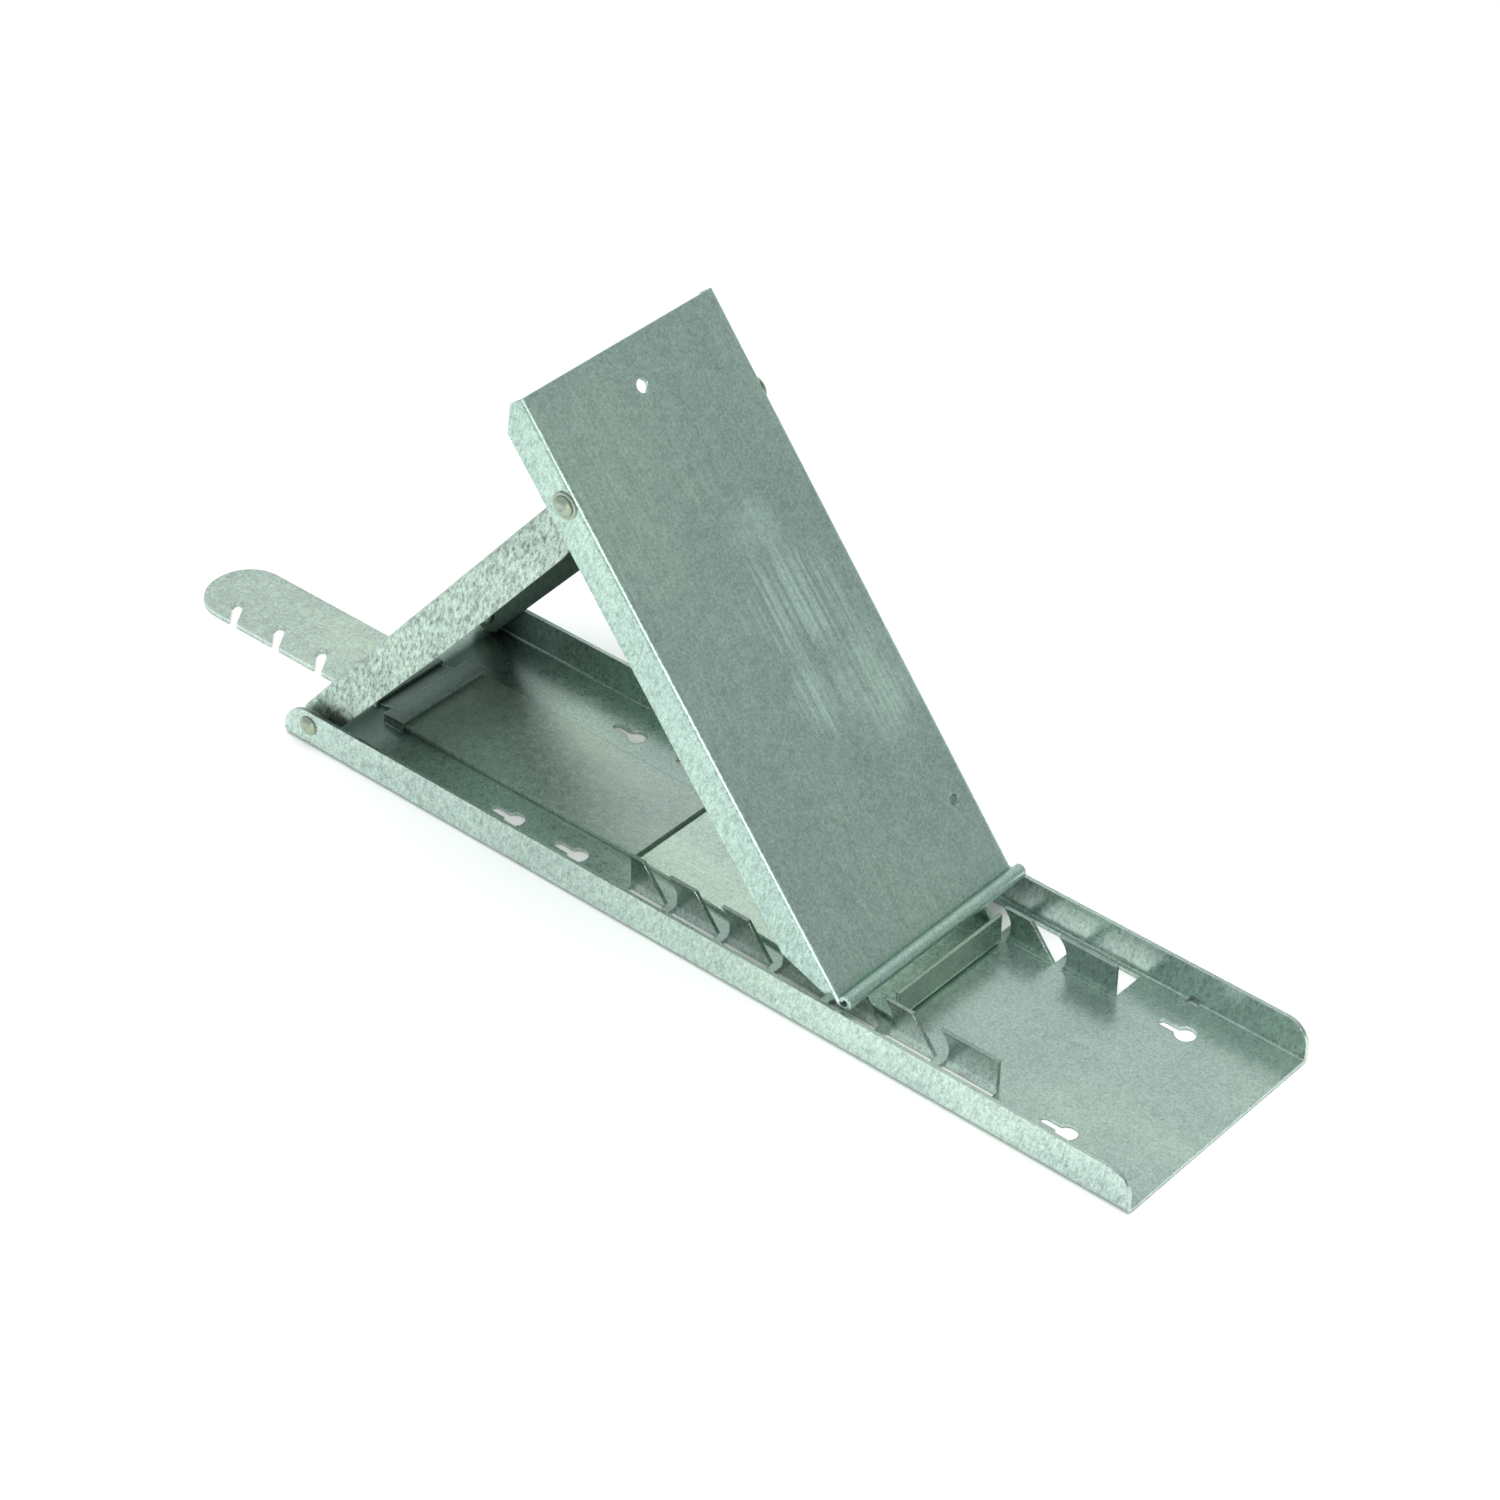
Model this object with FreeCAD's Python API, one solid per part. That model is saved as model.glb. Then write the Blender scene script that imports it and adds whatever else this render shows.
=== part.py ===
import FreeCAD, Part
import os
from math import sqrt, sin, cos, asin, atan2, degrees, radians

from FreeCAD import Vector, Rotation, Placement

# Adjustable roof bracket in galvanised sheet steel.
#
# A long channel lies on the roof with its hooked strap pointing up the slope.
# A strut is riveted near the channel's upper end and carries the plank.  The
# platform is riveted to the strut, its tip stands past the rivet as the plank
# stop, and its rolled foot comes down over two rows of lanced tabs, the rack.
#
# While it is drawn, X runs down the slope from the lower pivot, Y across the
# bracket and Z up from the roof.  finish() then moves the origin to the middle
# of the overall length.  All sizes are in millimetres.

# ---------------------------------------------------------------- driving sizes
sheet = 1.9                 # 14 gauge sheet of the channel, strut and platform
bend_radius = 1.2           # inside radius of every fold

# base channel
base_width = 127.0
wall_height = 20.0
heel_radius = 16.0          # rounded upper end of the walls, centred on the pivot's X
foot_radius = 11.0          # rounded lower end of the walls
pivot_to_base_end = 474.0
pivot_height = 12.0         # lower pivot above the roof

# rack of lanced tabs
tab_count = 7
tab_pitch = 30.7
tab_height = 17.1           # above the floor's upper face
rack_half_width = 42.0      # outer faces of the two rows
first_tab_left = 181.5      # the first tab has a plain upright edge here
first_tab_right = 202.0     # lower end of the first tab's sloping edge
tab_slope_run = 13.4        # how far the sloping edge leans back up the slope
gap_at_floor = 4.4
gap_at_top = 15.4
pocket_depth = 4.2          # hollow in each tab's bearing edge
last_tab_extra = 2.6        # the last tab runs on past the pitch

# keyholes for the roof nails
keyhole_radius = 5.0
keyhole_slot_width = 4.4
keyhole_slot_reach = 14.0
keyhole_half_spacing = 41.5
upper_keyhole_x = 110.0
inner_keyhole_gap = 39.0
outer_keyhole_gap = 316.0

# small slot through the far fold, near the channel's lower end
fold_slot_start = 413.0
fold_slot_length = 6.0
fold_slot_width = 2.2

# nailing strap and its guides
strap_thickness = 2.5
strap_width = 41.5
strap_body_width = 54.0
strap_reach = 127.7         # strap tip up the slope from the lower pivot
strap_body_end = 170.5
strap_tip_radius = 20.0
hook_count = 3
hook_pitch = 28.9
hook_width = 4.4
hook_depth = 11.5
first_hook_x = -104.0
guide_slot_start = 3.0      # where the floor opens for the strap
guide_slot_end = 11.0
bridge_start = 14.0
bridge_end = 26.0
slide_fit = 0.15            # play of the strap and foot slide in the channel

# foot slide
foot_slide_length = 157.0
foot_slide_gap = 2.5        # between the strap's inner end and the slide
foot_slide_top = 18.9       # upper edge of the turned-up lip
foot_slide_lip_width = 71.0 # the plate widens from the strap's width to this

# strut
strut_pivots = 253.3
strut_depth = 19.0          # of the flanges at the lower pivot
strut_upper_depth = 21.5    # and where they are deepest
strut_deepest_at = 120.0
strut_drop_at_a = 9.6       # web's outer face above the lower pivot
strut_drop_at_b = 5.1       # and above the upper pivot
strut_taper_length = 32.0   # flanges narrow over this length at the upper pivot
strut_heel_radius = 9.4
lower_web_setback = 13.0    # the web starts this far above the lower pivot
upper_web_setback = 8.0     # and stops this far below the upper one

# platform
platform_side_gap = 1.2     # between the platform and the base walls
platform_depth = 19.5
platform_tip = 48.0         # plank stop, past the upper pivot
pivot_below_face = 7.5      # upper pivot below the platform's outer face
curl_radius = 4.3
curl_lip_radius = 3.2         # the roll tightens towards its lip
tip_chamfer = 11.0
foot_chamfer = 22.0
tip_hole_radius = 3.2
side_hole_radius = 2.8
curl_over_tabs = 0.5        # the rolled foot rides this far above the tabs

# rivets and washers
shank_radius = 2.8
head_radius = 4.9
head_height = 2.4
tail_radius = 4.5
tail_height = 1.8
running_clearance = 0.05    # radial, a rivet's shank in a turning piece
upper_washer = 1.0           # thickness, inside the platform's flanges
ring_washer = 0.9           # thickness, under the upper rivets' heads
ring_washer_radius = 6.4
spacer_radius = 5.2
end_play = 0.1

# bracket as it stands: the foot over the mouth of the fifth notch
notch_in_use = 5

# ---------------------------------------------------------------- worked out
base_half = base_width / 2
wall_inner = base_half - sheet
platform_half = wall_inner - platform_side_gap
strut_half = platform_half - sheet - upper_washer - end_play
upper_washer_radius = pivot_below_face - sheet - bend_radius - end_play
tab_top = sheet + tab_height
strap_floor = sheet + slide_fit
upper_keyholes = (upper_keyhole_x, upper_keyhole_x + inner_keyhole_gap,
                  upper_keyhole_x + outer_keyhole_gap)

# The foot's centre travels level over the tabs.  The strut and the platform
# turn by angles in a fixed ratio, and these lengths are what keeps it level.
foot_height = tab_top + curl_over_tabs + curl_radius
mouth_middle = first_tab_right + tab_pitch * (notch_in_use - 1) - tab_slope_run + gap_at_top / 2
foot_rise = foot_height - pivot_height


def strut_place(foot_x):
    """Ratio of the two turns, and B above and beside A, for a foot at foot_x."""
    ratio = 1.0
    for _ in range(40):
        b_x = foot_x / (1 + 1 / ratio)
        b_rise = sqrt(strut_pivots ** 2 - b_x ** 2)
        ratio = sqrt(b_rise / (b_rise - foot_rise))
    return ratio, b_x, b_rise


turn_ratio, b_x, b_rise = strut_place(mouth_middle)
strut_angle = degrees(atan2(b_rise, b_x))
pivot_a = Vector(0, 0, pivot_height)
pivot_b = Vector(b_x, 0, pivot_height + b_rise)
foot_c = Vector(mouth_middle, 0, foot_height)
brace_length = (foot_c - pivot_b).Length
curl_offset = curl_radius - sheet + pivot_below_face
foot_along = sqrt(brace_length ** 2 - curl_offset ** 2)
platform_angle = degrees(atan2(pivot_b.z - foot_c.z, foot_c.x - pivot_b.x)
                         + atan2(curl_offset, foot_along))
middle_x = (pivot_to_base_end - strap_reach) / 2

os.makedirs("parts", exist_ok=True)


# ---------------------------------------------------------------- helpers
def outline(points):
    """Closed face in XZ.  A point is (x, z), and (x, z, 'arc') bends through it."""
    edges = []
    start = points[0]
    index = 1
    loop = list(points) + [points[0]]
    while index < len(loop):
        here = loop[index]
        if len(here) == 3:
            end = loop[index + 1]
            arc = Part.Arc(Vector(start[0], 0, start[1]), Vector(here[0], 0, here[1]),
                           Vector(end[0], 0, end[1]))
            edges.append(arc.toShape())
            start = end
            index += 2
        else:
            edges.append(Part.makeLine(Vector(start[0], 0, start[1]), Vector(here[0], 0, here[1])))
            start = here
            index += 1
    return Part.Face(Part.Wire(edges))


def across(face, y_low, y_high):
    """An XZ face drawn out along Y."""
    face = face.copy()
    face.translate(Vector(0, y_low, 0))
    return face.extrude(Vector(0, y_high - y_low, 0))


def block(x_range, y_range, z_range):
    return Part.makeBox(x_range[1] - x_range[0], y_range[1] - y_range[0], z_range[1] - z_range[0],
                        Vector(x_range[0], y_range[0], z_range[0]))


def drill(x, z, radius, y_low, y_high):
    """A cylinder along Y, as a rivet hole's cutter."""
    return Part.makeCylinder(radius, y_high - y_low, Vector(x, y_low, z), Vector(0, 1, 0))


def bent_channel(x_low, x_high, half, depth):
    """Folded channel along X: the web's outer face at Z = 0, the flanges down."""
    outer = bend_radius + sheet
    lean = 1 - sqrt(0.5)

    def corner(side, radius, inset):
        """The fold from flange to web on one side, as three points in YZ."""
        edge = half - inset
        return [(side * edge, -inset - radius),
                (side * (edge - radius * lean), -inset - radius * lean),
                (side * (edge - radius), -inset)]

    left_out = corner(-1, outer, 0)
    right_out = corner(1, outer, 0)[::-1]
    right_in = corner(1, bend_radius, sheet)
    left_in = corner(-1, bend_radius, sheet)[::-1]
    rows = [[(-half, -depth)], left_out, right_out, [(half, -depth), (half - sheet, -depth)],
            right_in, left_in, [(-half + sheet, -depth)]]
    edges = []
    last = None
    for row in rows:
        place = [Vector(x_low, y, z) for y, z in row]
        if last is not None:
            edges.append(Part.makeLine(last, place[0]))
        if len(place) == 3:
            edges.append(Part.Arc(*place).toShape())
        elif len(place) == 2:
            edges.append(Part.makeLine(place[0], place[1]))
        last = place[-1]
    first = Vector(x_low, -half, -depth)
    edges.append(Part.makeLine(last, first))
    return Part.Face(Part.Wire(edges)).extrude(Vector(x_high - x_low, 0, 0))


def finish(name, shape, placement=None):
    """Put a piece in its place, check it and write it."""
    shape = shape.copy()
    if placement is not None:
        shape.Placement = placement.multiply(shape.Placement)
    shape.translate(Vector(-middle_x, 0, 0))
    shape = shape.removeSplitter()
    solids = shape.Solids
    print(f"{name}: {len(solids)} solid, valid {shape.isValid()}, {shape.Volume / 1000:.2f} cm3")
    piece = solids[0] if len(solids) == 1 else shape
    piece.exportStep(f"parts/{name}.step")


# ---------------------------------------------------------------- base channel
def keyhole(x, y):
    """Round hole with a narrow slot up the slope, where the nail's shank ends up."""
    slot_end = x - keyhole_slot_reach + keyhole_slot_width / 2
    half_slot = keyhole_slot_width / 2
    depth = (-sheet, 2 * sheet)
    cut = Part.makeCylinder(keyhole_radius, 3 * sheet, Vector(x, y, depth[0]))
    cut = cut.fuse(Part.makeCylinder(half_slot, 3 * sheet, Vector(slot_end, y, depth[0])))
    return cut.fuse(block((slot_end, x), (y - half_slot, y + half_slot), depth))


def tab_spans():
    """X of each tab at the floor and at its top: left low, left high, right high, right low."""
    spans = []
    for index in range(tab_count):
        shift = index * tab_pitch
        right_low = first_tab_right + shift
        right_high = right_low - tab_slope_run
        left_low = right_low - tab_pitch + gap_at_floor
        left_high = right_high - tab_pitch + gap_at_top
        if index == 0:
            left_low = left_high = first_tab_left
        if index == tab_count - 1:
            right_low = right_high = right_low + last_tab_extra
        spans.append((left_low, left_high, right_high, right_low))
    return spans


def tab_face(index, span):
    """One tab: flat top, sloping back edge and a hollowed bearing edge."""
    left_low, left_high, right_high, right_low = span
    foot = sheet / 2
    pocket = (max(left_low, left_high) + pocket_depth * 0.6, sheet + tab_height * 0.42, "arc")
    points = [(left_low, foot), (right_low, foot), (right_low, sheet), (right_high, tab_top),
              (left_high, tab_top)]
    if index > 0:
        points.append(pocket)
    points.append((left_low, sheet))
    return outline(points)


def raised_loop(x_low, x_high, half_span, underside):
    """Strip of floor pressed up over the strap, on two sloping legs."""
    upper = underside + sheet
    leg = upper + bend_radius
    drawn = [(-half_span - leg, 0), (-half_span - leg, sheet), (-half_span - sheet, sheet),
             (-half_span - sheet / 2, upper), (half_span + sheet / 2, upper),
             (half_span + sheet, sheet), (half_span + leg, sheet), (half_span + leg, 0),
             (half_span + sheet / 2, 0), (half_span, underside), (-half_span, underside),
             (-half_span - sheet / 2, 0)]
    wire = Part.makePolygon([Vector(x_low, y, z) for y, z in drawn + drawn[:1]])
    return Part.Face(wire).extrude(Vector(x_high - x_low, 0, 0))


def base_channel():
    end = pivot_to_base_end
    body = bent_channel(-heel_radius, end, base_half, wall_height)
    body.rotate(Vector(0, 0, 0), Vector(1, 0, 0), 180)
    heel_z = wall_height - heel_radius
    near = sqrt(0.5)
    side = outline([(-heel_radius, 0), (end, 0), (end, wall_height - foot_radius),
                    (end - foot_radius * (1 - near), wall_height - foot_radius * (1 - near), "arc"),
                    (end - foot_radius, wall_height), (0, wall_height),
                    (-heel_radius * near, heel_z + heel_radius * near, "arc"),
                    (-heel_radius, heel_z)])
    body = body.common(across(side, -base_width, base_width))
    for side in (-1, 1):
        rim = (rack_half_width, rack_half_width + tab_height)
        strip = (min(side * rim[0], side * rim[1]), max(side * rim[0], side * rim[1]))
        plate = sorted((side * rack_half_width, side * (rack_half_width - sheet)))
        for index, span in enumerate(tab_spans()):
            body = body.cut(block((span[0], span[3]), strip, (-sheet, 2 * sheet)))
            body = body.fuse(across(tab_face(index, span), plate[0], plate[1]))
        for x in upper_keyholes:
            body = body.cut(keyhole(x, side * keyhole_half_spacing))
        hole_y = sorted((side * (wall_inner - sheet), side * (base_half + sheet)))
        body = body.cut(drill(0, pivot_height, shank_radius, hole_y[0], hole_y[1]))
    strap_half = strap_width / 2 + slide_fit
    body_half = strap_body_width / 2 + slide_fit
    everywhere = (-sheet, 2 * sheet)
    fold_slot = wall_inner - bend_radius
    body = body.cut(block((fold_slot_start, fold_slot_start + fold_slot_length),
                          (fold_slot - fold_slot_width / 2, fold_slot + fold_slot_width / 2),
                          everywhere))
    body = body.cut(block((guide_slot_start, guide_slot_end), (-strap_half, strap_half), everywhere))
    loops = ((-heel_radius, guide_slot_start, strap_half, strap_thickness + slide_fit),
             (bridge_start, bridge_end, body_half, strap_floor + strap_thickness + slide_fit))
    for x_low, x_high, half_span, underside in loops:
        opening = half_span + sheet
        body = body.cut(block((x_low, x_high), (-opening, opening), everywhere))
        body = body.fuse(raised_loop(x_low, x_high, half_span, underside))
    return body


# ---------------------------------------------------------------- strap and slide
def nail_strap():
    """Flat bar, stepped up through the floor, with hooks for nails at its upper end."""
    low = strap_thickness
    high = strap_floor + strap_thickness
    margin = slide_fit
    profile = outline([(-strap_reach, 0), (guide_slot_start + margin, 0),
                       (guide_slot_end - margin, strap_floor), (strap_body_end, strap_floor),
                       (strap_body_end, high), (guide_slot_end - margin, high),
                       (guide_slot_start + margin, low), (-strap_reach, low)])
    bar = across(profile, -strap_body_width / 2, strap_body_width / 2)
    half = strap_width / 2
    radius = strap_tip_radius
    lean = radius * (1 - sqrt(0.5))
    tip = -strap_reach
    shoulder = bridge_start - slide_fit
    wide = strap_body_width / 2
    plan = [(tip + radius, -half), (shoulder, -half), (shoulder, -wide), (strap_body_end, -wide),
            (strap_body_end, wide), (shoulder, wide), (shoulder, half), (tip + radius, half),
            (tip + lean, half - lean, "arc"), (tip, half - radius), (tip, -half + radius),
            (tip + lean, -half + lean, "arc")]
    face = outline(plan)
    face.rotate(Vector(0, 0, 0), Vector(1, 0, 0), -90)
    face.translate(Vector(0, 0, -sheet))
    bar = bar.common(face.extrude(Vector(0, 0, 6 * sheet)))
    for index in range(hook_count):
        bar = bar.cut(hook_notch(first_hook_x + index * hook_pitch))
    return bar


def hook_notch(x):
    """Slot cut in from the near edge, then up the slope, so that a nail hooks in."""
    edge = -strap_width / 2
    reach = edge + hook_depth
    half = hook_width / 2
    tall = (-sheet, 3 * sheet)
    lean = hook_pitch * 0.42
    plan = Part.makePolygon([Vector(x + lean, edge - sheet, tall[0]),
                             Vector(x + lean - hook_width, edge - sheet, tall[0]),
                             Vector(x - half, reach - half, tall[0]),
                             Vector(x + half, reach + half, tall[0]),
                             Vector(x + lean, edge - sheet, tall[0])])
    mouth = Part.Face(plan).extrude(Vector(0, 0, tall[1] - tall[0]))
    seat = Part.makeCylinder(half, tall[1] - tall[0], Vector(x, reach, tall[0]))
    return mouth.fuse(seat)


def foot_slide():
    """Plate on the channel's floor, widening to an end turned up in front of the foot."""
    start = strap_body_end + foot_slide_gap
    end = start + foot_slide_length
    low = strap_floor
    high = low + sheet
    outer = bend_radius + sheet
    lean = 1 - sqrt(0.5)
    profile = outline([(start, low), (end - outer, low),
                       (end - outer * lean, low + outer * lean, "arc"),
                       (end, low + outer), (end, foot_slide_top), (end - sheet, foot_slide_top),
                       (end - sheet, high + bend_radius),
                       (end - sheet - bend_radius * lean, high + bend_radius * lean, "arc"),
                       (end - outer, high), (start, high)])
    narrow = strap_body_width / 2
    wide = foot_slide_lip_width / 2
    plan = Part.makePolygon([Vector(x, y, low) for x, y in (
        (start, -narrow), (end - outer, -wide), (end, -wide), (end, wide), (end - outer, wide),
        (start, narrow), (start, -narrow))])
    return across(profile, -wide, wide).common(Part.Face(plan).extrude(Vector(0, 0, foot_slide_top)))


# ---------------------------------------------------------------- strut
def support_strut():
    """Channel between the pivots, drawn with its web's outer face level at Z = 0."""
    reach = sqrt(strut_pivots ** 2 - (strut_drop_at_a - strut_drop_at_b) ** 2)
    a = (0.0, -strut_drop_at_a)
    b = (reach, -strut_drop_at_b)
    channel = bent_channel(-strut_heel_radius, reach + strut_drop_at_b, strut_half,
                           strut_upper_depth)
    taper = reach - strut_taper_length
    low = strut_drop_at_b * sqrt(0.5)
    side = outline([(0, 0), (-strut_heel_radius, a[1], "arc"),
                    (0, a[1] - strut_heel_radius), (sheet, -strut_depth),
                    (strut_deepest_at, -strut_upper_depth), (taper, -strut_upper_depth),
                    (reach - 0.36 * strut_taper_length, -0.83 * strut_upper_depth, "arc"),
                    (b[0] + low, b[1] - low), (b[0] + strut_drop_at_b, b[1], "arc"),
                    (b[0] + low, b[1] + low), (reach, 0)])
    strut = channel.common(across(side, -base_width, base_width))
    inner = strut_half - sheet
    for x_range in ((-strut_depth, lower_web_setback), (reach - upper_web_setback, reach + strut_depth)):
        strut = strut.cut(block(x_range, (-inner, inner), (-strut_depth, sheet)))
    for x, z in (a, b):
        strut = strut.cut(drill(x, z, shank_radius + running_clearance, -base_width, base_width))
    turn = strut_angle - degrees(asin((strut_drop_at_a - strut_drop_at_b) / strut_pivots))
    spin = Rotation(Vector(0, -1, 0), turn)
    corner = pivot_a - spin.multVec(Vector(a[0], 0, a[1]))
    return strut, Placement(corner, spin)


# ---------------------------------------------------------------- platform
def platform():
    """Plate with two flanges and a rolled foot, drawn about the upper pivot."""
    face = pivot_below_face
    flange_low = face - platform_depth
    channel = bent_channel(-platform_tip, foot_along, platform_half, platform_depth)
    channel.translate(Vector(0, 0, face))
    flange_end = foot_along - curl_radius - bend_radius
    back = face - sheet
    side = outline([(-platform_tip, face), (-platform_tip, flange_low + tip_chamfer),
                    (-platform_tip + tip_chamfer, flange_low),
                    (flange_end - foot_chamfer, flange_low),
                    (flange_end, flange_low + 0.6 * foot_chamfer), (flange_end, back),
                    (foot_along, back), (foot_along, face)])
    plate = channel.common(across(side, -base_width, base_width))
    plate = plate.fuse(rolled_foot())
    for y in (-1, 1):
        reach = sorted((y * (platform_half - 3 * sheet), y * (platform_half + sheet)))
        plate = plate.cut(drill(0, 0, shank_radius, reach[0], reach[1]))
    for x, y, radius in ((-platform_tip + 21.0, 0, tip_hole_radius),
                         (foot_along - 42.0, platform_half - 12.5, side_hole_radius)):
        plate = plate.cut(Part.makeCylinder(radius, 2 * face, Vector(x, y, 0)))
    spin = Rotation(Vector(0, 1, 0), platform_angle)
    return plate, Placement(pivot_b, spin)


def rolled_foot():
    """Roll turned outwards from the plate's lower end, almost closed on the plate's face."""
    tightens = radians(150)     # turned so far from the plate, the roll gets its lip's radius
    last = radians(330)
    middle = (tightens + last) / 2
    step = curl_radius - curl_lip_radius
    wide = (foot_along, curl_offset)
    tight = (wide[0] + step * sin(tightens), wide[1] - step * cos(tightens))

    def spot(centre, radius, angle):
        return (centre[0] + radius * sin(angle), centre[1] - radius * cos(angle))

    inner = curl_radius - sheet
    lip_inner = curl_lip_radius - sheet
    ring = outline([spot(wide, curl_radius, 0), spot(wide, curl_radius, tightens / 2) + ("arc",),
                    spot(tight, curl_lip_radius, tightens),
                    spot(tight, curl_lip_radius, middle) + ("arc",),
                    spot(tight, curl_lip_radius, last), spot(tight, lip_inner, last),
                    spot(tight, lip_inner, middle) + ("arc",),
                    spot(wide, inner, tightens), spot(wide, inner, tightens / 2) + ("arc",),
                    spot(wide, inner, 0)])
    return across(ring, -platform_half, platform_half)


# ---------------------------------------------------------------- rivets and washers
def rivet(seat, grip_end, side):
    """Domed rivet along Y: its head sits on seat and its tail closes at grip_end."""
    def point(radius, y):
        return Vector(radius, side * y, 0)

    def dome(radius, base, height):
        """Arc from the flat crown to the rim, and the crown's two ends."""
        crown = point(radius * 0.25, base + height)
        shoulder = point(radius * 0.78, base + height * 0.66)
        return crown, Part.Arc(crown, shoulder, point(radius, base)).toShape()

    head_crown, head_dome = dome(head_radius, seat, head_height)
    tail_crown, tail_dome = dome(tail_radius, grip_end, -tail_height)
    head_pole = point(0, seat + head_height)
    tail_pole = point(0, grip_end - tail_height)
    edges = [
        Part.makeLine(head_pole, head_crown), head_dome,
        Part.makeLine(point(head_radius, seat), point(shank_radius, seat)),
        Part.makeLine(point(shank_radius, seat), point(shank_radius, grip_end)),
        Part.makeLine(point(shank_radius, grip_end), point(tail_radius, grip_end)),
        tail_dome, Part.makeLine(tail_crown, tail_pole), Part.makeLine(tail_pole, head_pole),
    ]
    return Part.Face(Part.Wire(edges)).revolve(Vector(0, 0, 0), Vector(0, 1, 0), 360)


def washer(radius, y_low, y_high, side):
    """Flat ring on a rivet's shank, between two distances from the middle."""
    low, high = sorted((side * y_low, side * y_high))
    bore = shank_radius + running_clearance
    return drill(0, 0, radius, low, high).cut(drill(0, 0, bore, low, high))


# ---------------------------------------------------------------- write the pieces
finish("base_channel", base_channel())
finish("nail_strap", nail_strap())
finish("foot_slide", foot_slide())
finish("support_strut", *support_strut())
finish("platform", *platform())

at_a = Placement(pivot_a, Rotation())
at_b = Placement(pivot_b, Rotation())
strut_inside = strut_half - sheet - end_play
for side, word in ((-1, "near"), (1, "far")):
    finish(f"lower_rivet_{word}", rivet(base_half, strut_inside, side), at_a)
    spacer = washer(spacer_radius, strut_half + end_play, wall_inner, side)
    finish(f"lower_spacer_{word}", spacer, at_a)
    seat = platform_half + ring_washer
    finish(f"upper_rivet_{word}", rivet(seat, strut_inside, side), at_b)
    finish(f"upper_ring_{word}", washer(ring_washer_radius, platform_half, seat, side), at_b)
    inside = platform_half - sheet
    inner = washer(upper_washer_radius, inside - upper_washer, inside, side)
    finish(f"upper_washer_{word}", inner, at_b)

print(f"turn ratio {turn_ratio:.5f}, strut angle {strut_angle:.3f}, platform angle {platform_angle:.3f}")
print(f"A {pivot_a}, B {pivot_b}, C {foot_c}, brace {brace_length:.3f}, middle {middle_x:.3f}")
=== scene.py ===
# %% [markdown]
# # A folding roof bracket in galvanised sheet steel
#
# A roofer hooks this bracket over nails on a pitched roof and lays a plank on it. A channel lies
# on the roof, a strut and a platform stand on it as a triangle, and the platform's rolled foot
# stands behind one of the tabs cut up from the channel's floor.
#
# The shape of every folded part is ready: it comes from the CAD model, in metres, Z up. This
# lesson adds what the CAD model lacks, which is the zinc finish on each part, rivets with peened
# heads, and a small studio to look at it in.

# %% Load the bracket
from math import cos, pi, radians, sin

import bpy
from mathutils import Matrix, Vector


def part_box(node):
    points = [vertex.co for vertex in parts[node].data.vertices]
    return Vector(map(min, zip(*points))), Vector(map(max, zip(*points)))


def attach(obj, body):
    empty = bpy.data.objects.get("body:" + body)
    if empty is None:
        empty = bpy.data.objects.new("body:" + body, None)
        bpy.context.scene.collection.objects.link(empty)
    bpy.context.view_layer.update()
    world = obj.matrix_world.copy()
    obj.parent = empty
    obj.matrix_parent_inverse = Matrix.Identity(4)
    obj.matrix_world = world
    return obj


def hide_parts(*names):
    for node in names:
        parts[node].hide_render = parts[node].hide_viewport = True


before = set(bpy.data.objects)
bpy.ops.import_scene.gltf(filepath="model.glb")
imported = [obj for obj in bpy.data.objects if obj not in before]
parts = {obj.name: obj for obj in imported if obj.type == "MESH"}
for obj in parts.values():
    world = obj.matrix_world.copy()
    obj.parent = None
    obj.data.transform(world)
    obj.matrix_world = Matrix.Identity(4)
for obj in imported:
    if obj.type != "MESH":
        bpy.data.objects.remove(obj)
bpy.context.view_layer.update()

print("parts:", ", ".join(sorted(parts)))

# %% [markdown]
# ## A bench for building finishes
#
# A finish is a small network of shader nodes. Making them by hand in the node editor is fine for
# one material, but this bracket has six that share their patterns, so a helper that places a
# node, sets it up and wires it in one call keeps each recipe short enough to read.


# %% A helper that places and wires shader nodes
class Bench:
    """One material and short calls that add nodes to it."""

    def __init__(self, name):
        self.finish = bpy.data.materials.new(name)
        self.finish.use_nodes = True
        self.tree = self.finish.node_tree
        self.shader = self.tree.nodes["Principled BSDF"]

    def feed(self, socket, value):
        """Links an output to a socket, or sets the socket to a number or colour."""
        if isinstance(value, bpy.types.NodeSocket):
            self.tree.links.new(value, socket)
        else:
            socket.default_value = value

    def put(self, kind, setup=None, **sockets):
        """Adds a node. Socket names are written with _ for a space."""
        node = self.tree.nodes.new("ShaderNode" + kind)
        for key, value in (setup or {}).items():
            setattr(node, key, value)
        for key, value in sockets.items():
            self.feed(node.inputs[key.replace("_", " ")], value)
        return node

    def sum(self, how, *values):
        """A Math node: ADD, MULTIPLY, SUBTRACT and so on."""
        node = self.put("Math", {"operation": how})
        for socket, value in zip(node.inputs, values):
            self.feed(socket, value)
        return node.outputs[0]

    def scale(self, value, low, high, to_low=0.0, to_high=1.0):
        """Maps low..high to to_low..to_high, with both ends held."""
        return self.put("MapRange", Value=value, From_Min=low, From_Max=high,
                        To_Min=to_low, To_Max=to_high).outputs[0]

    def blend(self, share, first, second, how="MIX"):
        """Mixes two colours."""
        node = self.put("Mix", {"data_type": "RGBA", "blend_type": how})
        for index, value in ((0, share), (6, first), (7, second)):
            self.feed(node.inputs[index], value)
        return node.outputs[2]


def rgb(red, green, blue):
    """A colour for a socket, which also wants an alpha."""
    return (red, green, blue, 1.0)


print("the bench is ready")

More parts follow.
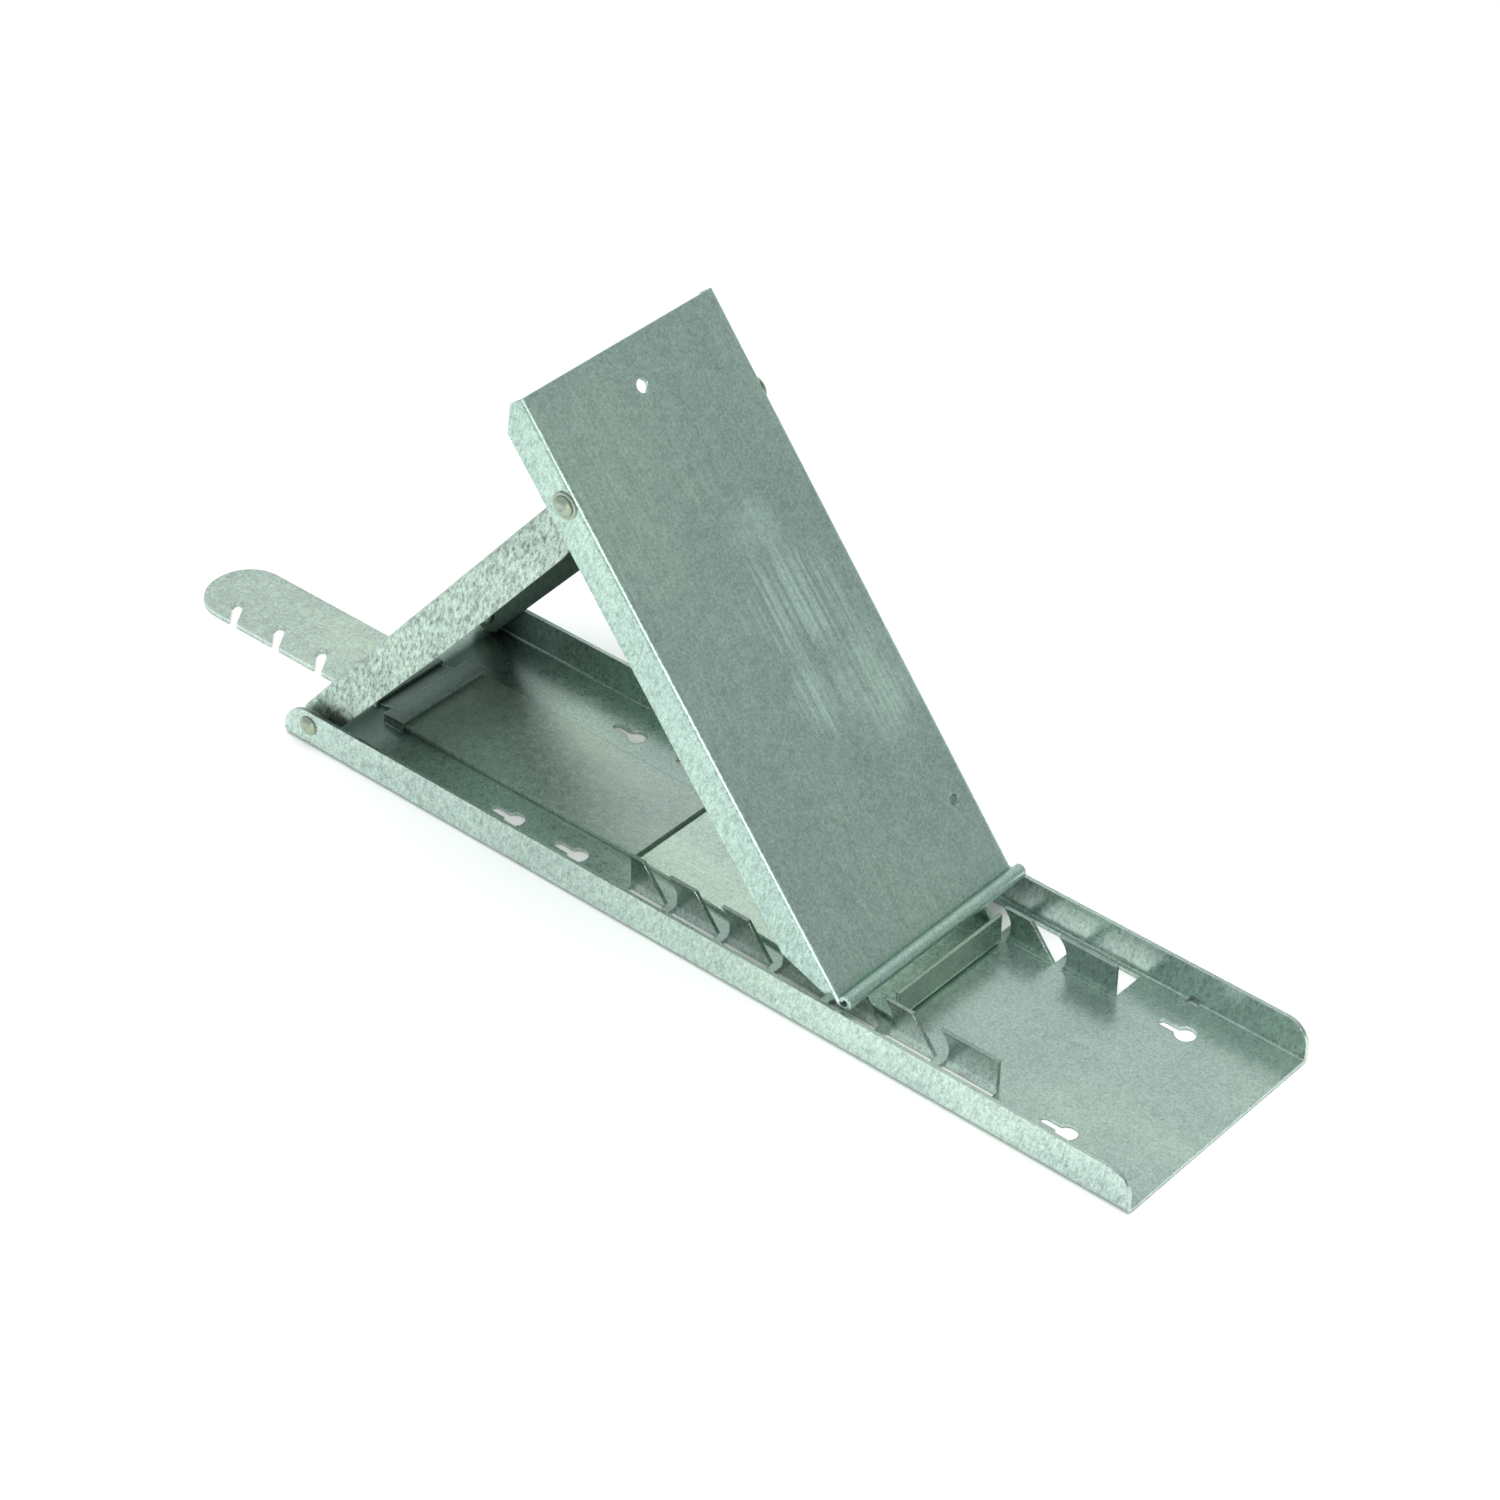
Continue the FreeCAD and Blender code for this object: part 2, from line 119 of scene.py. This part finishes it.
# %% [markdown]
# ## Coordinates that follow the rolled length of each part
#
# Sheet steel is rolled, so its faint lines run along the length of every part. The channel and
# the strap lie along X, but the strut climbs at 50 degrees and the platform falls at 52 degrees.
# Turning the object coordinates about Y by that slope gives each part a local X along its own
# length. Object coordinates are in metres and travel with the part when the bracket folds.

# %% Rolled-length coordinates
strut_slope = 50.2
platform_slope = -51.7


def rolled_length(bench, slope):
    """The place on the part in metres, with X along a part that leans by slope degrees."""
    place = bench.put("TexCoord").outputs["Object"]
    return bench.put("Mapping", Vector=place, Rotation=(0, radians(slope), 0)).outputs[0]


print("slopes in degrees:", strut_slope, platform_slope)

# %% [markdown]
# ## The patterns of zinc
#
# Hot zinc freezes on steel in crystals a few millimetres wide, the spangle. Each crystal mirrors
# the light at its own angle, so neighbours differ a little in tone. A Voronoi texture has exactly
# those cells, and its edges look less like glass when a fine noise pushes the coordinates about.
# Each crystal also has feathery ridges, which show as short slanted strokes, and the rolling
# mill leaves long faint lines. Both are noise that is pulled out in one direction. A fine even
# grain lies over all of it.


# %% Noise, crystals, strokes and mill lines
def speckle(bench, place, size, detail=2.0, stretch=(1, 1, 1), turn=(0, 0, 0)):
    """Noise with spots of about that size in metres, longer along an axis that is stretched."""
    angles = [radians(angle) for angle in turn]
    turned = bench.put("Mapping", Vector=place, Rotation=angles).outputs[0]
    pulled = bench.put("Mapping", Vector=turned, Scale=[1 / pull for pull in stretch]).outputs[0]
    return bench.put("TexNoise", Vector=pulled, Scale=1 / size, Detail=detail,
                     Roughness=0.55).outputs["Fac"]


def crystals(bench, place, size):
    """Zinc crystals: a random tone for each one, and how far a point is from its middle."""
    nudge = bench.put("TexNoise", Vector=place, Scale=2.2 / size, Detail=1.0).outputs["Color"]
    shift = bench.put("VectorMath", {"operation": "SCALE"}, Vector=nudge, Scale=0.9 * size)
    moved = bench.put("VectorMath", {"operation": "ADD"})
    bench.feed(moved.inputs[0], place)
    bench.feed(moved.inputs[1], shift.outputs[0])
    cells = bench.put("TexVoronoi", Vector=moved.outputs[0], Scale=1 / size)
    tone = bench.put("SeparateColor", Color=cells.outputs["Color"]).outputs["Red"]
    return tone, cells.outputs["Distance"]


def strokes(bench, slant=72, size=0.0015):
    """Short strokes that stand almost upright on the sides of a part."""
    place = bench.put("TexCoord").outputs["Object"]
    return speckle(bench, place, size, 2.0, stretch=(3.8, 1, 1), turn=(0, slant, 14))


def mill_lines(bench, place, pitch=0.0016):
    """Long faint lines along the rolled length."""
    return speckle(bench, place, pitch, 1.0, stretch=(55, 1, 1))


print("patterns: speckle, crystals, strokes, mill_lines")

# %% [markdown]
# ## Edges that were sheared, and corners that keep their dirt
#
# The blanks are sheared and punched after galvanising, so the cut edges are bare and rubbed
# bright. The Bevel node rounds the normal near an edge without touching the mesh. Where that
# rounded normal differs from the flat one there is an edge, which gives both a soft glint and a
# mask for the wear. Ambient occlusion finds the tight inside corners, and a painted shade darkens
# them grey-green. Its reach is short, because the broad shadows should come from the light and
# not from the paint.


# %% Masks for worn edges and painted shade in corners
edge_radius = 0.0006


def soft_edge(bench):
    """The rounded normal, and a mask that is 1 on the edges."""
    rounded = bench.put("Bevel", {"samples": 6}, Radius=edge_radius).outputs[0]
    flat = bench.put("NewGeometry").outputs["Normal"]
    agree = bench.put("VectorMath", {"operation": "DOT_PRODUCT"})
    bench.feed(agree.inputs[0], rounded)
    bench.feed(agree.inputs[1], flat)
    return rounded, bench.scale(agree.outputs["Value"], 0.985, 0.80)


def corner_shade(bench, reach):
    """A mask that is 1 deep in the corners, where shade is painted."""
    open_sky = bench.put("AmbientOcclusion", {"samples": 6}, Distance=reach).outputs["AO"]
    return bench.scale(open_sky, 0.75, 0.10)


print("edge radius in mm:", 1000 * edge_radius)

# %% [markdown]
# ## Places with painted shade
#
# The bracket looks darkest inside the strut's flanges, on the floor under the foot of the strut,
# and on the tabs that were bent up from the floor. Part of that is shadow and reflection, which
# the light gives by itself. A thin dark painted shade on those places deepens it. The object
# coordinates say where a point lies and which way its face looks. Each pair of numbers is a place
# in metres where the painted shade starts and a place where it is full.


# %% A mask for the painted shade
inner_face = (-0.008, -0.020)      # metres from the middle, below zero where a face looks inward
wall_fade = (-0.160, -0.190)       # along the channel, on its walls
floor_fade = (-0.128, -0.195)      # along the channel, on its floor
strut_foot = (-0.180, -0.170)      # the film lies only down the slope from here
tab_height = (0.0045, 0.0060)      # up from the roof, where the bent tabs leave the floor
between_walls = (0.0590, 0.0580)   # across the channel, to leave out the walls themselves


def shaded(bench, shade_inside, channel_shade, cloud, raised_shade):
    """A mask that is 1 where the painted shade is."""
    coordinates = bench.put("TexCoord")
    place = bench.put("SeparateXYZ", Vector=coordinates.outputs["Object"])
    facing = bench.put("SeparateXYZ", Vector=coordinates.outputs["Normal"])
    painted_shade = 0.0
    if shade_inside or channel_shade:
        inward = bench.sum("MULTIPLY", facing.outputs["Y"], place.outputs["Y"])
        painted_shade = bench.scale(inward, *inner_face, 0.0, 0.85)
    if shade_inside:
        underside = bench.scale(facing.outputs["Z"], -0.3, -0.6, 0.0, 0.15)
        painted_shade = bench.sum("MAXIMUM", painted_shade, underside)
    if channel_shade:
        wander = bench.sum("MULTIPLY_ADD", cloud, -0.05, place.outputs["X"])
        on_walls = bench.sum("MULTIPLY", painted_shade, bench.scale(wander, *wall_fade))
        on_floor = bench.sum("MULTIPLY", bench.scale(facing.outputs["Z"], 0.5, 0.8),
                             bench.scale(wander, *floor_fade))
        painted_shade = bench.sum("MULTIPLY", bench.sum("MAXIMUM", on_walls, on_floor),
                         bench.scale(place.outputs["X"], *strut_foot))
        raised = bench.scale(place.outputs["Z"], *tab_height, 0.0, raised_shade)
        within = bench.scale(bench.sum("ABSOLUTE", place.outputs["Y"]), *between_walls)
        painted_shade = bench.sum("MAXIMUM", painted_shade, bench.sum("MULTIPLY", raised, within))
    return painted_shade


print("the sheltered places are mapped")

# %% [markdown]
# ## One recipe for galvanised steel
#
# The parts differ in tone, crystal size and how strongly the mill lines show, but they are all
# the same kind of sheet, so one recipe with a few settings serves them all. The tone starts from
# the part's own colour. Crystals, strokes, mill lines and broad clouds each move it a little,
# because real spangle is a play of light more than of paint. Some crystals lean to
# yellow-green and some to blue-grey. The same patterns then drive roughness and a very low bump.


# %% The galvanised recipe
metal_share = 0.94
relief_depth = 0.00020
rubbed_bright = (0.80, 0.86, 0.82)


def galvanised(name, tone, slope=0.0, crystal=0.0016, spangle=1.0, feather=1.0, lines=0.3,
               clouds=1.0, shine=0.40, wear=1.0, shade_inside=False, channel_shade=False,
               raised_shade=0.35, pale_patches=()):
    """A zinc-coated sheet. spangle, feather, lines and clouds say how strongly each shows.

    bloom lists the (x, y, z, radius) of pale patches.
    """
    bench = Bench(name)
    place = rolled_length(bench, slope)
    cell, middle = crystals(bench, place, crystal)
    ridges = strokes(bench)
    grain = speckle(bench, place, 0.0011, 1.0)
    mill = mill_lines(bench, place)
    cloud = speckle(bench, place, 0.050, 2.0, stretch=(1.8, 1, 1))
    mottle = speckle(bench, place, 0.0050, 3.0)

    # How much lighter or darker than its tone each point is.
    shade = bench.sum("MULTIPLY_ADD", bench.sum("SUBTRACT", cell, 0.5), 0.22 * spangle, 1.0)
    patches = bench.scale(cloud, 0.46, 0.60, 0.15, 0.6)
    pale = 0.0
    for *spot, radius in pale_patches:
        there = bench.put("TexCoord").outputs["Object"]
        away = bench.put("VectorMath", {"operation": "DISTANCE"})
        bench.feed(away.inputs[0], there)
        bench.feed(away.inputs[1], spot)
        frayed = speckle(bench, place, 0.016, 3.0, stretch=(1.6, 1, 1))
        ragged = bench.sum("MULTIPLY_ADD", frayed, 1.6 * radius, away.outputs["Value"])
        pale = bench.sum("MAXIMUM", pale, bench.scale(ragged, 1.7 * radius, 1.1 * radius))
        patches = bench.sum("MULTIPLY_ADD", pale, 0.8, patches)
    mill_here = bench.sum("MULTIPLY", bench.sum("SUBTRACT", mill, 0.5), patches)
    for pattern, share in ((grain, 0.75), (mottle, 0.45 * clouds), (cloud, 0.55 * clouds)):
        shade = bench.sum("MULTIPLY_ADD", bench.sum("SUBTRACT", pattern, 0.5), share, shade)
    shade = bench.sum("MULTIPLY_ADD", mill_here, 1.2 * lines, shade)
    facing = bench.put("SeparateXYZ", Vector=bench.put("TexCoord").outputs["Normal"])
    on_sides = bench.scale(bench.sum("ABSOLUTE", facing.outputs["Y"]), 0.3, 0.8, 0.12, 1.0)
    dark_strokes = bench.sum("MULTIPLY", bench.scale(ridges, 0.42, 0.66), on_sides)
    shade = bench.sum("MULTIPLY_ADD", dark_strokes, -0.34 * feather, shade)
    shade = bench.sum("MULTIPLY_ADD", pale, 0.22, shade)

    # Crystals lean to yellow-green or to blue-grey.
    red, green, blue = tone
    warm = bench.blend(bench.scale(cell, 0.55, 1.0, 0.0, 0.55 * spangle), rgb(*tone),
                       rgb(red * 1.05, green * 1.03, blue * 0.92))
    hue = bench.blend(bench.scale(cell, 0.45, 0.0, 0.0, 0.5 * spangle), warm,
                      rgb(red * 0.94, green * 0.97, blue * 1.07))
    hue = bench.blend(bench.scale(cloud, 0.50, 0.68, 0.0, 0.45 * clouds), hue,
                      rgb(red * 1.05, green * 1.04, blue * 0.91))
    grey = bench.put("CombineColor", Red=shade, Green=shade, Blue=shade).outputs[0]
    colour = bench.blend(1.0, hue, grey, "MULTIPLY")

    # Painted shade: the deep corners turn darker grey-green, and they are also made a little
    # rougher.
    corner_shade_mask = bench.sum("MULTIPLY", corner_shade(bench, 0.004),
                     bench.scale(mottle, 0.3, 0.6, 0.3, 0.7))
    colour = bench.blend(corner_shade_mask, colour, rgb(red * 0.35, green * 0.42, blue * 0.38))
    # Painted shade: a dark green goes where the mask marks the bracket as shaded.
    painted_shade = shaded(bench, shade_inside, channel_shade, cloud, raised_shade)
    colour = bench.blend(painted_shade, colour, rgb(red * 0.10, green * 0.14, blue * 0.125))
    rounded, edge = soft_edge(bench)
    worn = bench.sum("MULTIPLY", edge, bench.scale(mottle, 0.35, 0.60, 0.25 * wear, 0.85 * wear))
    colour = bench.blend(worn, colour, rgb(*rubbed_bright))

    rough = bench.sum("MULTIPLY_ADD", bench.sum("SUBTRACT", cell, 0.5), 0.14 * spangle, shine)
    rough = bench.sum("MULTIPLY_ADD", bench.sum("SUBTRACT", mottle, 0.5), 0.12, rough)
    rough = bench.sum("MULTIPLY_ADD", corner_shade_mask, 0.25, rough)
    rough = bench.sum("MULTIPLY_ADD", worn, -0.12, rough)

    relief = bench.sum("MULTIPLY_ADD", middle, 0.20 * spangle,
                       bench.sum("MULTIPLY", ridges, 0.3 * feather))
    relief = bench.sum("MULTIPLY_ADD", grain, 0.2, relief)
    relief = bench.sum("MULTIPLY_ADD", mill_here, 1.0 * lines, relief)
    relief = bench.sum("MULTIPLY_ADD", cloud, 7.0, relief)
    bump = bench.put("Bump", Height=relief, Normal=rounded, Strength=0.30,
                     Distance=relief_depth)

    bench.feed(bench.shader.inputs["Base Color"], colour)
    bench.feed(bench.shader.inputs["Roughness"], rough)
    bench.feed(bench.shader.inputs["Normal"], bump.outputs[0])
    bench.shader.inputs["Metallic"].default_value = metal_share
    return bench.finish


print("one recipe, five finishes to come")

# %% [markdown]
# ## Dress the folded parts
#
# The channel and its foot slide are cut from one coil, light grey-green with a fine spangle. The
# strut has the largest and liveliest crystals. The platform is smoother and darker, with mill
# lines that show most in a few pale patches. The hooked strap is thicker bar stock, mottled with
# yellow-green.

# %% Finishes for the sheet parts
platform_pale_patches = [(0.050, 0.020, 0.142, 0.034), (0.073, 0.006, 0.112, 0.020),
                  (0.079, 0.040, 0.105, 0.034), (0.026, 0.017, 0.172, 0.018)]
# The channel, slide and strap get painted shade near the strut's foot and on their raised parts
# inside the walls. The strut gets painted shade inside its flanges and underneath.
sheet_finishes = {
    "base_channel": galvanised("channel_zinc", (0.52, 0.65, 0.60), crystal=0.0014, spangle=0.5,
                               feather=0.75, lines=0.10, clouds=0.7, shine=0.30, channel_shade=True),
    "foot_slide": galvanised("slide_zinc", (0.70, 0.86, 0.76), crystal=0.0014, spangle=0.5,
                             feather=0.20, lines=0.25, clouds=0.9, shine=0.27, wear=0.15,
                             channel_shade=True, raised_shade=0.55),
    "support_strut": galvanised("strut_zinc", (0.52, 0.65, 0.58), strut_slope, crystal=0.0018,
                                spangle=0.8, feather=1.4, lines=0.05, shade_inside=True),
    "platform": galvanised("platform_zinc", (0.49, 0.65, 0.59), platform_slope, crystal=0.0015,
                           spangle=0.45, feather=0.80, lines=0.38, clouds=0.6, shine=0.36,
                           pale_patches=platform_pale_patches),
    "nail_strap": galvanised("strap_zinc", (0.60, 0.72, 0.66), crystal=0.0018, spangle=0.8,
                             feather=0.3, lines=0.05, channel_shade=True),
}
for part, finish in sheet_finishes.items():
    parts[part].material_slots[0].material = finish
    print(part, "wears", finish.name)

# %% [markdown]
# ## The rivet finish
#
# The rivets and washers are zinc plated and passivated, which leaves a faint straw colour. They
# are small turned and pressed pieces, so their marks are fine and have no long direction: a
# speckle for the plating, painted shade in the grooves and a bright rubbed rim.


# %% Plated steel for rivets and washers
def plated(name, tone):
    """Zinc plating with a straw tint, with painted shade in its grooves."""
    bench = Bench(name)
    place = rolled_length(bench, 0.0)
    fine = speckle(bench, place, 0.0007, 3.0)
    broad = speckle(bench, place, 0.0045, 2.0)
    colour = bench.blend(bench.scale(broad, 0.35, 0.65), rgb(*tone), rgb(0.40, 0.50, 0.42))
    grey = bench.scale(fine, 0.3, 0.7, 0.82, 1.12)
    greys = bench.put("CombineColor", Red=grey, Green=grey, Blue=grey).outputs[0]
    colour = bench.blend(1.0, colour, greys, "MULTIPLY")
    # Painted shade: the grooves go nearly black.
    colour = bench.blend(corner_shade(bench, 0.005), colour, rgb(0.05, 0.07, 0.05))
    rounded, edge = soft_edge(bench)
    colour = bench.blend(bench.sum("MULTIPLY", edge, 0.5), colour, rgb(0.85, 0.86, 0.78))
    bump = bench.put("Bump", Height=fine, Normal=rounded, Strength=0.25, Distance=0.00008)
    bench.feed(bench.shader.inputs["Base Color"], colour)
    bench.feed(bench.shader.inputs["Roughness"], bench.scale(fine, 0.3, 0.7, 0.38, 0.54))
    bench.feed(bench.shader.inputs["Normal"], bump.outputs[0])
    bench.shader.inputs["Metallic"].default_value = 0.9
    return bench.finish


rivet_finish = plated("rivet_zinc", (0.40, 0.45, 0.33))
for part, thing in parts.items():
    if "rivet" in part or "ring" in part or "washer" in part or "spacer" in part:
        thing.material_slots[0].material = rivet_finish
        print(part, "wears", rivet_finish.name)

# %% [markdown]
# ## Rivets with peened heads
#
# The CAD rivets are plain cylinders. The real ones are peened: the head is a low dome with a
# shallow dimple, and the inner end is rolled over round a small crater. Both are round about one
# axis, so the natural way to make them is a lathe: draw half the outline and spin it. Each new
# rivet takes its axis and its length from the CAD rivet that it stands for, so it fits its hole.

# %% A lathe for round pieces
round_steps = 64


def turned(name, outline, middle, outward):
    """Spins (radius, depth) points about an axis along Y through middle, depth growing inward."""
    corners, faces, rings = [], [], []
    for radius, depth in outline:
        count = 1 if radius == 0 else round_steps
        rings.append(range(len(corners), len(corners) + count))
        for step in range(count):
            angle = 2 * pi * step / round_steps
            spoke = Vector((radius * cos(angle), -outward * depth, radius * sin(angle)))
            corners.append(middle + spoke)
    for here, there in zip(rings, rings[1:]):
        for step in range(round_steps):
            after = (step + 1) % round_steps
            loop = [here[step % len(here)], here[after % len(here)],
                    there[after % len(there)], there[step % len(there)]]
            loop = list(dict.fromkeys(loop))
            faces.append(loop if outward < 0 else loop[::-1])
    mesh = bpy.data.meshes.new(name)
    mesh.from_pydata(corners, [], faces)
    mesh.shade_smooth()
    mesh.set_sharp_from_angle(angle=radians(38))
    mesh.materials.append(rivet_finish)
    piece = bpy.data.objects.new(name, mesh)
    bpy.context.scene.collection.objects.link(piece)
    return piece


print("lathe steps per turn:", round_steps)

# %% Spin the four rivets
mm = 0.001


def rivet_outline(length):
    """Half a rivet from the dimple in its head to the crater in its rolled end, in metres."""
    head = [(0, 0.55), (0.6, 0.52), (1.1, 0.36), (1.5, 0.12), (1.9, 0.0), (2.4, 0.06),
            (3.0, 0.30), (3.6, 0.66), (4.2, 1.15), (4.65, 1.65), (4.87, 2.05), (4.9, 2.25),
            (4.8, 2.38), (4.6, 2.4), (2.8, 2.4)]
    end = [(2.8, 1.8), (4.2, 1.8), (4.42, 1.7), (4.5, 1.45), (4.45, 0.95), (4.2, 0.5),
           (3.8, 0.18), (3.3, 0.02), (2.8, 0.0), (2.3, 0.12), (1.8, 0.5), (1.3, 0.95),
           (0.7, 1.2), (0, 1.25)]
    return ([(r * mm, d * mm) for r, d in head]
            + [(r * mm, length - d * mm) for r, d in end])


for level, body in (("lower", "base"), ("upper", "platform")):
    for side, outward in (("near", -1), ("far", 1)):
        low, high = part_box(f"{level}_rivet_{side}")
        middle = (low + high) / 2
        middle.y = high.y if outward > 0 else low.y
        outline = rivet_outline(high.y - low.y)
        rivet = turned(f"peened_rivet_{level}_{side}", outline, middle, outward)
        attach(rivet, body)
        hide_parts(f"{level}_rivet_{side}")
        print(rivet.name, "is", round((high.y - low.y) / mm, 1), "mm long")

# %% [markdown]
# ## A plain floor and soft light
#
# Metal shows its surroundings more than its own colour, so the light is planned by what each
# face mirrors towards the camera. The near flanges mirror the white floor in front and look
# light. The platform mirrors the low sky on the right, so that side of the sky is dimmer and the
# face turns a calm mid grey. The channel's floor mirrors the high sky on the left, so no lamp
# hangs there. A lamp overhead and one in front light the floor, and a small one beside the
# camera puts a thin glint on the folds. From some sides steel would mirror the two large lamps
# as a white glare, so those two light the floor without showing in reflections.


# %% Floor
def floor_finish():
    """A matt pale floor."""
    bench = Bench("pale_floor")
    bench.shader.inputs["Base Color"].default_value = rgb(0.90, 0.91, 0.90)
    bench.shader.inputs["Roughness"].default_value = 0.85
    bench.shader.inputs["Specular IOR Level"].default_value = 0.2
    return bench.finish


floor_half = 4.0
floor_gap = 0.0003
floor_mesh = bpy.data.meshes.new("floor")
floor_mesh.from_pydata([(x * floor_half, y * floor_half, -floor_gap)
                        for x, y in ((-1, -1), (1, -1), (1, 1), (-1, 1))], [], [(0, 1, 2, 3)])
floor_mesh.materials.append(floor_finish())
floor = bpy.data.objects.new("floor", floor_mesh)
bpy.context.scene.collection.objects.link(floor)
print("floor side in m:", 2 * floor_half)


# %% Lamps
bracket_middle = Vector((0, 0, 0.08))


def softbox(name, place, width, power, mirrored=True):
    """A square lamp that faces the bracket. Steel shows it only if it is mirrored."""
    light = bpy.data.lights.new(name, "AREA")
    light.shape, light.size, light.energy = "SQUARE", width, power
    lamp = bpy.data.objects.new(name, light)
    lamp.location = place
    lamp.visible_glossy = mirrored
    aim = bracket_middle - lamp.location
    lamp.rotation_euler = aim.to_track_quat("-Z", "Y").to_euler()
    bpy.context.scene.collection.objects.link(lamp)
    print(name, "gives", power, "W")


softbox("main_lamp", (0.6, -1.1, 1.9), 2.2, 24, mirrored=False)
softbox("top_lamp", (0.35, 0.0, 2.4), 2.0, 36, mirrored=False)
softbox("edge_lamp", (1.25, -1.75, 0.60), 0.5, 9)


# %% Sky
bright_side = (-0.65, 0.25, 0.72)
sky_tint = (0.95, 1.0, 0.98)


def pale_sky():
    """A grey sky that is brightest high on the left and dimmest low on the right."""
    sky = bpy.data.worlds.new("pale_sky")
    sky.use_nodes = True
    nodes, links = sky.node_tree.nodes, sky.node_tree.links
    toward = nodes.new("ShaderNodeVectorMath")
    toward.operation = "DOT_PRODUCT"
    toward.inputs[1].default_value = bright_side
    links.new(nodes.new("ShaderNodeTexCoord").outputs["Generated"], toward.inputs[0])
    glow = nodes.new("ShaderNodeMapRange")
    strengths = {"From Min": -0.2, "From Max": 1.0, "To Min": 0.33, "To Max": 0.78}
    for socket, value in strengths.items():
        glow.inputs[socket].default_value = value
    links.new(toward.outputs["Value"], glow.inputs["Value"])
    links.new(glow.outputs[0], nodes["Background"].inputs["Strength"])
    nodes["Background"].inputs["Color"].default_value = rgb(*sky_tint)
    return sky


bpy.context.scene.world = pale_sky()
bpy.context.scene.view_settings.view_transform = "Standard"
print("the sky is in place")

# %% [markdown]
# ## The camera
#
# The bracket is seen from the right and above, from about two metres off with a long lens, so
# that its folds stay straight and its far end is hardly smaller than its near one.

# %% Camera
camera = bpy.data.objects.new("camera", bpy.data.cameras.new("camera"))
camera.location = (1.0175, -1.1544, 1.2243)
right = Vector((0.7567, 0.6536, 0.0135)).normalized()
ahead = Vector((-0.5135, 0.6070, -0.6066))
ahead = (ahead - right * ahead.dot(right)).normalized()
above = right.cross(ahead)
camera.rotation_mode = "QUATERNION"
camera.rotation_quaternion = Matrix((right, above, -ahead)).transposed().to_quaternion()
camera.data.sensor_width = 36
camera.data.lens = 104.2
bpy.context.scene.collection.objects.link(camera)
bpy.context.scene.camera = camera
print("camera is", round(camera.location.length, 2), "m from the bracket's middle")
